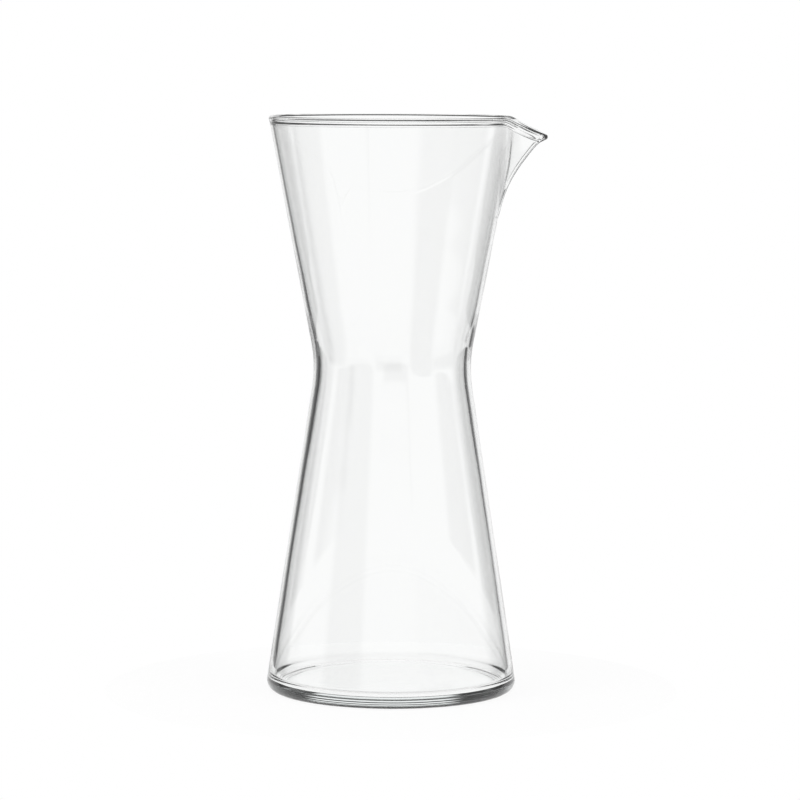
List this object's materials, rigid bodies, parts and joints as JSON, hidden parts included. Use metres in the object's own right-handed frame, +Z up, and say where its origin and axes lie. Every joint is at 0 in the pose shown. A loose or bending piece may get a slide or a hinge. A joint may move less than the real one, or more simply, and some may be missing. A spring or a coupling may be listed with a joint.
{
  "type": "glass carafe",
  "caption": "Clear glass carafe blown in one piece, two cones meeting at a slim waist, with a flat foot and an open lip drawn out into a pouring spout.",
  "frame": {"origin": "on the vessel's axis, at the plane it stands on", "axes": "+Z up along the vessel's axis, +X towards the tip of the spout, +Y across the spout"},
  "size_m": [0.1163, 0.1042, 0.24],
  "materials": {
    "glass": "clear soda-lime glass, fire-polished, smooth with a faint waviness from blowing"
  },
  "bodies": {
    "root": {"carafe_body": "glass"}
  },
  "joints": []
}
